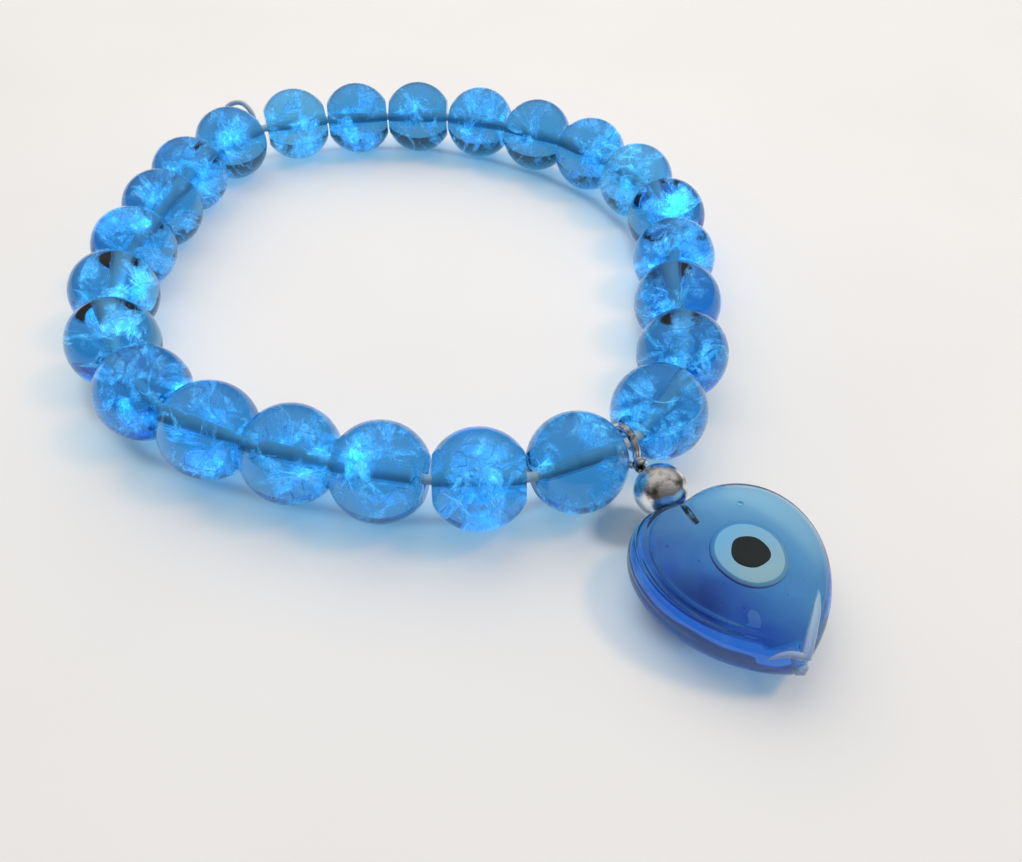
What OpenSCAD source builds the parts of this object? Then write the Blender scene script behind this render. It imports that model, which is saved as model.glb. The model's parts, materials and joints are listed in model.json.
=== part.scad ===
// Stretch bracelet of round crackle-glass beads with a lampwork glass heart
// charm that carries an evil eye. Millimetres, Z up. It lies on the plane
// z = 0, with the origin under the middle of its bounding box. The strand runs
// anticlockwise seen from above, and gap number k follows bead number k.

/* [Beads] */
// Diameter of a glass bead across its hole
bead_d = 8; // [7.6:0.1:8.6]
// Length of a bead along its hole, between its two flattened ends
bead_len = 7; // [6.6:0.1:7.4]
// Diameter of the hole drilled through a bead
bead_bore_d = 1.0; // [0.95:0.01:1.1]
// Clearance between two neighbouring beads at their nearest point
bead_gap = 0.06; // [0.05:0.01:0.3]

/* [Elastic cord] */
// Diameter of the clear elastic cord
cord_d = 0.8; // [0.6:0.05:0.85]
// Extra room that the knot takes between its two beads
knot_room = 0.3; // [0.2:0.1:0.8]
// Thickness of the trimmed cord tails that leave the knot
tail_d = 0.6; // [0.4:0.05:0.8]

/* [Charm wire] */
// Diameter of the wire
wire_d = 0.45; // [0.35:0.01:0.5]
// Mean diameter of the wire ring that rides on the cord
ring_d = 3.35; // [3:0.05:3.6]
// Extra room that the ring takes between its two beads
ring_room = 1.2; // [1.1:0.1:1.6]
// How far along the cord the ring lies from the middle of its gap
ring_aside = -0.3; // [-0.4:0.05:-0.2]
// Distance from the cord to the middle of the wire ring
ring_reach = 0.15; // [0.05:0.05:0.6]
// Distance from the cord to the middle of the silver ball
ball_reach = 4.98; // [4.95:0.01:5.05]
// Diameter of the silver ball
ball_d = 4.1; // [3.9:0.05:4.1]
// Depth that the wire stem is glued into the heart
stem_depth = 2.3; // [1.8:0.1:2.8]
// Angle that the charm lies off square to the cord, in degrees
charm_yaw = 11.4; // [10:0.1:12]

/* [Glass heart] */
// Length of the heart from the bottom of its cleft to its tip
heart_len = 14; // [13.5:0.1:15]
// Width of the heart
heart_w = 14.2; // [13:0.1:15]
// Thickness of the heart
heart_t = 5.8; // [5.4:0.1:6.4]
// Distance that the heart's middle bulges to one side of its length
heart_lean = 0.75; // [0:0.05:1]
// Diameter of the drop of glass at the tip
tip_d = 1.1; // [0.9:0.05:1.3]
// Diameter of the white of the eye
eye_d = 5.4; // [4.8:0.1:5.8]
// Diameter of the pupil
pupil_d = 3.3; // [2.8:0.1:3.5]
// Distance of the eye from the middle of the heart, towards the tip
eye_along = 0.05; // [-0.5:0.05:1]
// Distance of the eye from the middle of the heart, to one side
eye_aside = 0.05; // [-0.5:0.05:0.5]

/* [Hidden] */
// Bend of the strand at each gap, in degrees, as it happens to lie
gap_bends = [
    27, 8, -9, 16, 23, 17, 14, 11, 18, 9, 10, 36,
    27, 0, 5, 13, 15, 22, 20, 7, 5, 14, 22, 30
];
n = len(gap_bends);
BEADS = [1:n];
// Gap with the knot in it, and the gap where the cord is two pieces
knot_gap = 12;
split_gap = 14;
// Heading of the first bead's hole
first_heading = 55;
// Play between touching pieces, and the radial play of the ball on its stem
play = 0.03;
fit_play = 0.05;
// Height of the strand's and the heart's middles above the surface: the heart
// slopes, so its middle is a little higher than half its thickness
cord_z = bead_d / 2;
slope_lift = 0.1;
heart_z = heart_t / 2 + slope_lift;
// Cord that reaches past the split gap into the next bead's hole
split_reach = 3.3;
$fn = 64;

// Radius of a bead's flattened end
end_r = sqrt(pow(bead_d, 2) - pow(bead_len, 2)) / 2;

function unit(a) = [cos(a), sin(a)];
function total(v, count, i = 0) = i < count ? v[i] + total(v, count, i + 1) : 0;
function bend(k) = gap_bends[(k + n - 1) % n];
function heading(k) = first_heading + total(gap_bends, k - 1);

// Room added to a gap, and the distance between the beads on its two sides:
// they touch at the inner edges of their ends, where the strand bends
function room(k) = (k == n ? ring_room : 0) + (k == knot_gap ? knot_room : 0);
function spacing(k) = let (half = abs(bend(k)) / 2)
    bead_len * cos(half) + 2 * end_r * sin(half) + bead_gap + room(k);

// Bead centres one after another, with one extra that returns to the first.
// The little that the last one misses by is shared out over all the gaps.
function walk() = [
    for (k = 1, p = [0, 0];
         k <= n + 1;
         p = p + spacing(k) * unit(heading(k) + bend(k) / 2), k = k + 1) p
];
RAW = walk();
MISS = RAW[n] - RAW[0];
function raw_centre(k) = RAW[k - 1] - MISS * (k - 1) / n;

// Direction of the cord where the charm hangs, and of the charm from there.
// The cord runs straight from the last bead's hole to the first one's, which
// lies outside the line through the two beads' centres.
charm_chord = raw_centre(1) - raw_centre(n);
cord_heading = atan2(charm_chord.y, charm_chord.x);
charm_heading = cord_heading - 90 - charm_yaw;
RAW_SPAN = (raw_centre(n) + raw_centre(1)) / 2
    + bead_len / 2 * sin(bend(n) / 2) * unit(cord_heading - 90);
RAW_CHARM = RAW_SPAN + ring_aside * unit(cord_heading);

// Distance from the cleft to the middle of the heart
belly_x = heart_len * 0.46;
// Along the charm: ring, ball, cleft, middle and tip, measured from the cord
neck_reach = ring_reach + ring_d / 2;
cleft_reach = ball_reach + ball_d / 2 + fit_play;
belly_reach = cleft_reach + belly_x;
tip_reach = cleft_reach + heart_len;
// The charm slopes a little, from the cord down to the heart's middle
charm_slope = asin((cord_z - heart_z) / belly_reach);

// Outline of the heart in its own plane: from its cleft at 0 degrees, round
// one side to its tip at 180 degrees and back round the other. The two series
// shape a heart of the drawn size, and are scaled from there, and then the
// middle leans to one side.
outline_steps = 56;
drawn_len = 14.4;
drawn_w = 14.1;
function outline(a) = [
    (6.3 - 8.2 * cos(a) + 0.9 * cos(2 * a) + 1.0 * cos(3 * a)) * heart_len / drawn_len,
    (5.75 * sin(a) + 0.2 * sin(2 * a) - 1.3 * sin(3 * a)) * heart_w / drawn_w
        + heart_lean * pow(sin(a), 2)
];
// Middle that the outline shrinks towards on its way to the faces
belly = [belly_x, heart_lean];
eye_place = belly + [eye_along, eye_aside];

// A point of the charm, in the bracelet's own frame
function charm_point(u, v, w = 0) = let (
    along = u * cos(charm_slope) + w * sin(charm_slope),
    up = w * cos(charm_slope) - u * sin(charm_slope))
    [RAW_CHARM.x + along * cos(charm_heading) - v * sin(charm_heading),
     RAW_CHARM.y + along * sin(charm_heading) + v * cos(charm_heading),
     cord_z + up];

// Extent of the whole bracelet, and the move that puts the origin under it
EDGE = [
    for (i = [0:outline_steps - 1])
        let (p = outline(i * 360 / outline_steps)) charm_point(cleft_reach + p.x, p.y)
];
TIP = charm_point(tip_reach, 0);
low = [
    min(min([for (k = BEADS) raw_centre(k).x]) - bead_d / 2, min([for (p = EDGE) p.x])),
    min(TIP.y - tip_d / 2, min([for (p = EDGE) p.y]))
];
high = [
    max(max([for (k = BEADS) raw_centre(k).x]) + bead_d / 2, max([for (p = EDGE) p.x])),
    max([for (k = BEADS) raw_centre(k).y]) + bead_d / 2
];
shift = (low + high) / 2;
function centre(k) = raw_centre(k) - shift;
SPAN = RAW_SPAN - shift;
CHARM = RAW_CHARM - shift;

function number(k) = str(k < 10 ? "0" : "", k);
function bead_name(k) = str("bead_", number(k));
function cord_name(k) = str("cord_", number(k));

// Puts its children at bead k, with X along the bead's hole
module at_bead(k) {
    translate([centre(k).x, centre(k).y, cord_z]) rotate([0, 0, heading(k)]) children();
}

// Puts its children at the charm, with X along the charm and Z up from it
module at_charm() {
    translate([CHARM.x, CHARM.y, cord_z]) rotate([0, charm_slope, charm_heading]) children();
}

// A cylinder along X from one place to another
module rod_x(d, from, to) {
    translate([from, 0, 0]) rotate([0, 90, 0]) cylinder(h = to - from, d = d);
}

module glass_bead(k) {
    color("#3a86c8") at_bead(k) rotate([0, 90, 0]) difference() {
        intersection() {
            sphere(d = bead_d);
            cylinder(h = bead_len, d = bead_d + 1, center = true);
        }
        cylinder(h = bead_len + 1, d = bead_bore_d, center = true);
    }
}

// Where a bead's own stretch of cord ends: at the mitre in the middle of the
// gap, less what the corner of a bent cord needs
function mitre(k) = let (half = abs(bend(k)) / 2)
    spacing(k) / 2 / cos(half) - cord_d / 2 * tan(half) - play;
function cord_from(k) =
    k == split_gap + 1 ? split_reach + play - bead_len / 2
    : k == 1 ? -bead_len / 2
    : -mitre(k - 1);
function cord_to(k) =
    k == split_gap ? spacing(k) - bead_len / 2 + split_reach
    : k == n ? bead_len / 2
    : mitre(k);

module cord_piece(k) {
    color("#dfeaf2") at_bead(k) rod_x(cord_d, cord_from(k), cord_to(k));
}

// The bit of cord that the charm hangs on, between the last bead and the first
module cord_charm() {
    half_span = spacing(n) / 2 - bead_len / 2 * cos(bend(n) / 2);
    end = half_span - cord_d / 2 * tan(bend(n) / 2) - play;
    color("#dfeaf2") translate([SPAN.x, SPAN.y, cord_z]) rotate([0, 0, cord_heading])
        rod_x(cord_d, -end, end);
}

// A solid through rings of points that all have the same number of points,
// with a flat end on the first and the last ring
module skin(rings) {
    count = len(rings[0]);
    last = (len(rings) - 1) * count;
    sides = [
        for (j = [0:len(rings) - 2], i = [0:count - 1])
            let (a = j * count, next = (i + 1) % count)
            [a + i, a + count + i, a + count + next, a + next]
    ];
    ends = [[for (i = [0:count - 1]) i], [for (i = [count - 1:-1:0]) last + i]];
    polyhedron([for (ring = rings, p = ring) p], concat(ends, sides));
}

// Knot on the outside of the cord's corner in its gap, and the trimmed cord
// that runs through it from one tail's end to the other's. The points are
// measured outwards, along the strand and up from the knot's middle.
knot_r = 0.62;
knot_lean = bend(knot_gap) / 2;
knot_out = spacing(knot_gap) / 2 * tan(knot_lean) + cord_d / 2 / cos(knot_lean) + knot_r + play;
tail_sides = 8;
TAILS = [
    [2.5, -0.9, -0.5], [1.7, -0.4, -0.2], [0.8, -0.1, 0], [0, 0, 0],
    [-0.1, 0.05, 0.7], [0.1, 0.1, 1.5], [0.6, 0.3, 2.1], [1.2, 0.7, 2.5],
    [1.9, 1.4, 2.4], [2.2, 2.2, 2]
];
module cord_knot() {
    middle = (centre(knot_gap) + centre(knot_gap + 1)) / 2;
    color("#dfeaf2") translate([middle.x, middle.y, cord_z])
        rotate([0, 0, heading(knot_gap) + knot_lean - 90]) translate([knot_out, 0, 0]) {
            sphere(r = knot_r, $fn = 12);
            skin([for (i = [0:len(TAILS) - 1]) tail_ring(i)]);
        }
}
function tail_ring(i) =
    let (step = TAILS[min(i + 1, len(TAILS) - 1)] - TAILS[max(i - 1, 0)],
         side = cross(step, [0, 0, 1]) / norm(cross(step, [0, 0, 1])),
         up = cross(side, step) / norm(step))
    [for (a = [0:360 / tail_sides:359]) TAILS[i] + (cos(a) * side - sin(a) * up) * tail_d / 2];

// One piece of wire: a ring of two turns, two wraps at its neck and the stem.
// Neighbouring turns are pressed together a little, so that they join.
neck_wraps = 2;
turn_pitch = wire_d * 0.9;
wrap_pitch = wire_d * 0.8;
wrap_start = neck_reach + wire_d * 0.3;
wrap_d = wire_d * 1.8;
module wire_loop() {
    color("#b9b3ab") at_charm() {
        for (side = [-1, 1])
            translate([ring_reach, side * turn_pitch / 2, 0]) rotate([90, 0, 0]) wire_turn(ring_d);
        for (i = [0:neck_wraps - 1])
            translate([wrap_start + i * wrap_pitch, 0, 0]) rotate([0, 90, 0]) wire_turn(wrap_d);
        rod_x(wire_d, neck_reach - wire_d / 4, cleft_reach + stem_depth);
    }
}
module wire_turn(d) {
    rotate_extrude() translate([d / 2, 0]) circle(d = wire_d);
}

module silver_ball() {
    color("#d8d0c8") at_charm() translate([ball_reach, 0, 0]) rotate([0, 90, 0]) difference() {
        sphere(d = ball_d);
        cylinder(h = ball_d + 1, d = wire_d + 2 * fit_play, center = true);
    }
}

// The heart's rings of points run from its lower face to its upper face: each
// is the outline, shrunk and lifted along a rounded cross-section. A lower
// power makes that section squarer, and it stops short of the poles.
heart_rings = 15;
edge_power = 0.78;
edge_start = 82;
function level(j) = let (a = edge_start * (2 * j / (heart_rings - 1) - 1))
    [pow(cos(a), edge_power), sign(a) * pow(abs(sin(a)), edge_power) * heart_t / 2];
function shrunk(p, s) = belly + (p - belly) * s;
module heart_solid() {
    skin([
        for (j = [0:heart_rings - 1])
            [for (i = [0:outline_steps - 1])
                let (p = shrunk(outline(i * 360 / outline_steps), level(j)[0])) [p.x, p.y, level(j)[1]]]
    ]);
}

// Depth that the white sits into the glass, and how far it stands proud
eye_sink = 0.5;
eye_rise = 0.16;
eye_dome = 0.4;
pupil_sink = 0.3;
pupil_rise = 0.1;
pupil_dome = 0.2;
// Distance from the middle of the tip's drop of glass to the very tip
tip_inset = tip_d * 0.12;

module heart() {
    color("#2b62c4", 0.6) at_charm() translate([cleft_reach, 0, 0]) difference() {
        heart_solid();
        rod_x(wire_d + 2 * play, -1, stem_depth + play);
        translate([eye_place.x, eye_place.y, heart_t / 2 - eye_sink]) cylinder(h = 2, d = eye_d + 2 * play);
        translate([heart_len - tip_inset, 0, 0]) rotate([90, 0, 0]) sphere(d = tip_d + 2 * play);
    }
}

module heart_tip() {
    color("#a8c8d8") at_charm() translate([tip_reach - tip_inset, 0, 0]) sphere(d = tip_d);
}

// Puts its children where the eye is, on the heart's upper face
module at_eye() {
    at_charm() translate([cleft_reach + eye_place.x, eye_place.y, heart_t / 2]) children();
}

// A round dot of glass whose top is a shallow dome
module glass_dot(d, sink, rise, dome) {
    dome_r = (pow(d / 2, 2) + pow(dome, 2)) / (2 * dome);
    intersection() {
        translate([0, 0, -sink]) cylinder(h = sink + rise + 1, d = d, $fn = 128);
        translate([0, 0, rise - dome_r]) sphere(r = dome_r, $fn = 256);
    }
}

module eye_white() {
    color("#b8dde0") at_eye() difference() {
        glass_dot(eye_d, eye_sink - play, eye_rise, eye_dome);
        translate([0, 0, -pupil_sink - play]) cylinder(h = 2, d = pupil_d + 2 * play, $fn = 128);
    }
}

module eye_pupil() {
    color("#2e3a3c") at_eye() glass_dot(pupil_d, pupil_sink, eye_rise + pupil_rise, pupil_dome);
}

for (k = BEADS) {
    glass_bead(k);
    cord_piece(k);
}
cord_charm();
cord_knot();
wire_loop();
silver_ball();
heart();
heart_tip();
eye_white();
eye_pupil();
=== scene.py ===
"""Stretch bracelet of round crackle-glass beads with a lampwork glass heart charm.

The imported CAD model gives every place: this script dresses it with finished glass,
elastic and silver, and sets it on a white table under soft light. Lengths in the
classes are millimetres, and mesh data is metres.
"""

import json
import logging
import math
from dataclasses import dataclass, replace
from enum import Enum

import bpy
import numpy as np
from mathutils import Matrix, Vector


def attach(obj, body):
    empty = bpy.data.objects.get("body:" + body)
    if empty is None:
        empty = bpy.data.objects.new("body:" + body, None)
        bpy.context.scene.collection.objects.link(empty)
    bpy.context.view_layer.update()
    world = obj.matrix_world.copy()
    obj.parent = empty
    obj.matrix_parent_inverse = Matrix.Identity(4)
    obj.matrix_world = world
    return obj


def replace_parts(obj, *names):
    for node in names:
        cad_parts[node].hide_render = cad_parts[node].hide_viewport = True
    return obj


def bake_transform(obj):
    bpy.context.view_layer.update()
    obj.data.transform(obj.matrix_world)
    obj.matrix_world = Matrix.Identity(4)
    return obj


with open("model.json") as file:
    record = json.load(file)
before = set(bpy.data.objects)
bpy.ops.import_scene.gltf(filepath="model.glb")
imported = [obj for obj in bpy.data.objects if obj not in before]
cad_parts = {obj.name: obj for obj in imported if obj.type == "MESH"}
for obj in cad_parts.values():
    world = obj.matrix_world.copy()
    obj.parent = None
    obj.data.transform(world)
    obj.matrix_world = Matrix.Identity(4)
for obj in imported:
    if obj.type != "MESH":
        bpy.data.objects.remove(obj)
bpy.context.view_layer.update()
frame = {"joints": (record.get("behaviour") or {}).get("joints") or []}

LOG = logging.getLogger("bracelet")
MM = 0.001
# Sockets of the colour Mix node, whose names repeat
MIX_A, MIX_B, MIX_RESULT = 6, 7, 2
# Middle of the eye in the bracelet's frame, in millimetres
EYE_PLACE = (25.5, -31.4, 6.0)
# Beads whose glass came out a little paler
PALE_BEADS = {6, 12, 17, 18}
Vec = tuple[float, float, float]


class Slot(Enum):
    """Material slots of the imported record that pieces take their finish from."""

    CRACKLE = "crackle_glass"
    ELASTIC = "clear_elastic"
    WIRE = "wire"
    SILVER = "silver"
    HEART = "heart_glass"
    CLEAR = "clear_glass"
    WHITE = "white_glass"
    DARK = "dark_glass"


def linear(hex_colour: str) -> tuple[float, float, float, float]:
    """Turns an sRGB hex colour to linear.

    Args:
        hex_colour: six hex digits after a hash.

    Returns:
        Linear red, green, blue, and an alpha of 1.
    """
    shares = [int(hex_colour[i:i + 2], 16) / 255 for i in (1, 3, 5)]
    parts = [c / 12.92 if c <= 0.04045 else ((c + 0.055) / 1.055) ** 2.4 for c in shares]
    return (parts[0], parts[1], parts[2], 1.0)


def add_node(tree: bpy.types.NodeTree, kind: str, settings: dict | None = None,
             links: dict | None = None) -> bpy.types.Node:
    """Adds a node to a tree, with its settings and its incoming links.

    Args:
        tree: node tree of a material or of the world.
        kind: identifier of the node's type.
        settings: values by property name, or by input socket's name or number.
        links: output sockets by the name or number of the input that they feed.

    Returns:
        The new node.
    """
    node = tree.nodes.new(kind)
    for key, value in (settings or {}).items():
        if isinstance(key, str) and key in node.bl_rna.properties:
            setattr(node, key, value)
        else:
            node.inputs[key].default_value = value
    for key, output in (links or {}).items():
        tree.links.new(output, node.inputs[key])
    return node


def new_material(name: str) -> tuple[bpy.types.Material, bpy.types.NodeTree]:
    """Makes an empty node material.

    Args:
        name: the material's name.

    Returns:
        The material and its cleared node tree.
    """
    material = bpy.data.materials.new(name)
    material.use_nodes = True
    material.node_tree.nodes.clear()
    return material, material.node_tree


def mesh_piece(name: str, points: np.ndarray, faces: list, finish: bpy.types.Material) -> bpy.types.Object:
    """Makes one smooth-shaded piece from points in millimetres.

    Args:
        name: the piece's name.
        points: one row of x, y, z for each point, in the bracelet's frame.
        faces: tuples of point numbers.
        finish: material of the whole piece.

    Returns:
        The piece, linked to the scene.
    """
    mesh = bpy.data.meshes.new(name)
    mesh.from_pydata((np.asarray(points) * MM).tolist(), [], faces)
    if volume(mesh) < 0:
        mesh.flip_normals()
    mesh.shade_smooth()
    mesh.materials.append(finish)
    piece = bpy.data.objects.new(name, mesh)
    bpy.context.scene.collection.objects.link(piece)
    return piece


def volume(mesh: bpy.types.Mesh) -> float:
    """Measures what a mesh encloses, which is negative if its faces look inwards.

    Args:
        mesh: a closed mesh.

    Returns:
        The enclosed volume in cubic metres.
    """
    mesh.calc_loop_triangles()
    corners = np.empty(len(mesh.loop_triangles) * 3, np.int32)
    mesh.loop_triangles.foreach_get("vertices", corners)
    places = np.empty(len(mesh.vertices) * 3, np.float32)
    mesh.vertices.foreach_get("co", places)
    a, b, c = places.reshape(-1, 3)[corners.reshape(-1, 3)].astype(float).transpose(1, 0, 2)
    return float(np.einsum("ij,ij->i", a, np.cross(b, c)).sum() / 6)


def grid_faces(rings: int, around: int, first: int = 0, closed: bool = False) -> list:
    """Lists the quads between rings of points, each ring closed on itself.

    Args:
        rings: how many rings there are.
        around: how many points each ring has.
        first: number of the first ring's first point.
        closed: True if the last ring joins the first one.

    Returns:
        Faces as tuples of point numbers.
    """
    faces = []
    for j in range(rings if closed else rings - 1):
        low, high = first + j * around, first + (j + 1) % rings * around
        for i in range(around):
            n = (i + 1) % around
            faces.append((low + i, low + n, high + n, high + i))
    return faces


def smooth_path(points: list | np.ndarray, count: int) -> np.ndarray:
    """Draws a smooth line through a few points.

    Args:
        points: places that the line passes through.
        count: how many points the line gets.

    Returns:
        Points along a Catmull-Rom curve.
    """
    p = np.asarray(points, float)
    p = np.vstack([2 * p[0] - p[1], p, 2 * p[-1] - p[-2]])
    line = []
    for t in np.linspace(0, len(points) - 1 - 1e-9, count):
        i, f = int(t), t - int(t)
        a, b, c, d = p[i:i + 4]
        line.append(0.5 * (2 * b + (c - a) * f + (2 * a - 5 * b + 4 * c - d) * f * f
                           + (3 * b - a - 3 * c + d) * f ** 3))
    return np.array(line)


def sweep(path: np.ndarray, radii: np.ndarray, sides: int = 16) -> tuple[np.ndarray, list]:
    """Sweeps a round section along a path, with rounded ends.

    Args:
        path: points of the centre line.
        radii: radius at each point.
        sides: points around the section.

    Returns:
        Points and faces of the closed tube.
    """
    steps = np.gradient(path, axis=0)
    steps /= np.linalg.norm(steps, axis=1)[:, None]
    across = np.cross(steps[0], (0.0, 0.0, 1.0))
    if np.linalg.norm(across) < 0.1:
        across = np.cross(steps[0], (1.0, 0.0, 0.0))
    turns = np.linspace(0, 2 * math.pi, sides, endpoint=False)
    rings = []
    for centre, step, radius in zip(path, steps, radii):
        across = across - step * (across @ step)
        across /= np.linalg.norm(across)
        up = np.cross(step, across)
        rings.append(centre + radius * (np.outer(np.cos(turns), across)
                                        + np.outer(np.sin(turns), up)))
    points = np.vstack(rings)
    faces = grid_faces(len(path), sides)
    for ring, way in ((0, -1), (len(path) - 1, 1)):
        points = np.vstack([points, path[ring] + way * steps[ring] * radii[ring] * 0.45])
        tip, base = len(points) - 1, ring * sides
        for i in range(sides):
            n = (i + 1) % sides
            faces.append((base + i, base + n, tip)[::way])
    return points, faces


def lathe(profile: list, segments: int) -> tuple[np.ndarray, list]:
    """Turns a closed profile about the X axis.

    Args:
        profile: (along, radius) points, in order round the section.
        segments: steps round the axis.

    Returns:
        Points and faces of the ring-shaped solid.
    """
    turns = np.linspace(0, 2 * math.pi, segments, endpoint=False)
    points = np.array([(x, r * math.cos(t), r * math.sin(t)) for x, r in profile for t in turns])
    return points, grid_faces(len(profile), segments, closed=True)


def arc(centre: tuple[float, float], radius: float, start: float, end: float,
        count: int) -> list:
    """Lists points on an arc in the profile's plane.

    Args:
        centre: middle of the arc.
        radius: its radius.
        start: first angle, in degrees.
        end: last angle, in degrees.
        count: how many points.

    Returns:
        (along, radius) points.
    """
    angles = np.radians(np.linspace(start, end, count))
    return [(centre[0] + radius * math.cos(a), centre[1] + radius * math.sin(a)) for a in angles]


def ripple(points: np.ndarray, seed: int, size: float) -> np.ndarray:
    """Gives each point a smooth unevenness between -1 and 1, like fire-polished glass.

    Args:
        points: places in millimetres.
        seed: number that picks the pattern.
        size: rough width of one swell, in millimetres.

    Returns:
        One value for each point.
    """
    rng = np.random.default_rng(seed)
    value = np.zeros(len(points))
    waves = 6
    for _ in range(waves):
        way = rng.normal(size=3)
        way /= np.linalg.norm(way)
        value += np.sin(points @ way * (2 * math.pi / size) * rng.uniform(0.6, 1.3)
                        + rng.uniform(0, 2 * math.pi))
    return value / waves


def joint(name: str) -> dict:
    """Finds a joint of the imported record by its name."""
    return next(j for j in frame["joints"] if j["name"] == name)


def axes_from(along: Vector) -> np.ndarray:
    """Builds a right-handed frame whose X runs along a direction and whose Y is level.

    Args:
        along: the direction.

    Returns:
        Rows of the X, Y and Z axes.
    """
    x = along.normalized()
    y = Vector((0, 0, 1)).cross(x).normalized()
    return np.array([x, y, x.cross(y)])


# --------------------------------------------------------------------------- finishes


@dataclass(frozen=True)
class Fade:
    """Change from one colour to another across a piece, with a cloudy edge."""

    middle: Vec
    way: Vec
    width_mm: float
    cloud_mm: float = 3.0
    cloud_share: float = 0.35

    def share(self, tree: bpy.types.NodeTree, place: bpy.types.NodeSocket
              ) -> bpy.types.NodeSocket:
        """Adds the nodes that work out how far the change has gone.

        Args:
            tree: the material's node tree.
            place: output with the place in metres.

        Returns:
            Output that goes from 0 to 1 along the way.
        """
        off = add_node(tree, "ShaderNodeVectorMath", {
            "operation": "SUBTRACT", 1: tuple(c * MM for c in self.middle)}, {0: place})
        along = add_node(tree, "ShaderNodeVectorMath", {
            "operation": "DOT_PRODUCT", 1: tuple(Vector(self.way).normalized())},
            {0: off.outputs[0]})
        cloud = add_node(tree, "ShaderNodeTexNoise", {
            "Scale": 1 / (self.cloud_mm * MM), "Detail": 2.0, "Distortion": 0.4},
            {"Vector": place})
        swirl = add_node(tree, "ShaderNodeMath", {
            "operation": "MULTIPLY_ADD", 1: 2 * self.cloud_share * self.width_mm * MM,
            2: -self.cloud_share * self.width_mm * MM}, {0: cloud.outputs["Fac"]})
        total = add_node(tree, "ShaderNodeMath", {"operation": "ADD"}, {
            0: along.outputs["Value"], 1: swirl.outputs[0]})
        reach = self.width_mm / 2 * MM
        return add_node(tree, "ShaderNodeMapRange", {
            "interpolation_type": "SMOOTHSTEP", "From Min": -reach, "From Max": reach},
            {"Value": total.outputs[0]}).outputs["Result"]


@dataclass(frozen=True)
class Glass:
    """Clear or tinted soda-lime glass, worked in a flame, so glossy all over.

    The tint of each surface gives the base colour, and the absorption inside makes thick
    places deeper. A paler tint faded in across the piece is a painted reflection. Lamps
    shine through it, which throws a pool of its colour on the table.
    """

    name: str
    tint: str
    depth_tint: str = "#FFFFFF"
    depth_per_mm: float = 0.0
    pool: str = "#FFFFFF"
    roughness: float = 0.015
    ior: float = 1.5
    ripple_mm: float = 3.0
    ripple_height: float = 0.0
    painted_sheen_tint: str | None = None
    fade: Fade | None = None
    milk: float = 0.0

    def material(self) -> bpy.types.Material:
        """Builds the glass.

        Returns:
            The material.
        """
        material, tree = new_material(self.name)
        place = add_node(tree, "ShaderNodeTexCoord").outputs["Object"]
        body = add_node(tree, "ShaderNodeBsdfPrincipled", {
            "Base Color": linear(self.tint), "Roughness": self.roughness, "IOR": self.ior,
            "Transmission Weight": 1.0 - self.milk})
        # The paler tint is a painted reflection, faded in across the piece
        if self.painted_sheen_tint and self.fade:
            mix = add_node(tree, "ShaderNodeMix", {
                "data_type": "RGBA", MIX_A: linear(self.tint), MIX_B: linear(self.painted_sheen_tint)},
                {"Factor": self.fade.share(tree, place)})
            tree.links.new(mix.outputs[MIX_RESULT], body.inputs["Base Color"])
        if self.ripple_height:
            swell = add_node(tree, "ShaderNodeTexNoise", {
                "Scale": 1 / (self.ripple_mm * MM), "Detail": 2.0}, {"Vector": place})
            bump = add_node(tree, "ShaderNodeBump", {
                "Strength": 1.0, "Distance": self.ripple_height * MM},
                {"Height": swell.outputs["Fac"]})
            tree.links.new(bump.outputs["Normal"], body.inputs["Normal"])
        lamps = add_node(tree, "ShaderNodeBsdfTransparent", {"Color": linear(self.pool)})
        rays = add_node(tree, "ShaderNodeLightPath")
        both = add_node(tree, "ShaderNodeMixShader", None, {
            0: rays.outputs["Is Shadow Ray"], 1: body.outputs[0], 2: lamps.outputs[0]})
        out = add_node(tree, "ShaderNodeOutputMaterial", None, {"Surface": both.outputs[0]})
        if self.depth_per_mm:
            inside = add_node(tree, "ShaderNodeVolumeAbsorption", {
                "Color": linear(self.depth_tint), "Density": self.depth_per_mm / MM})
            tree.links.new(inside.outputs[0], out.inputs["Volume"])
        return material


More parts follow.
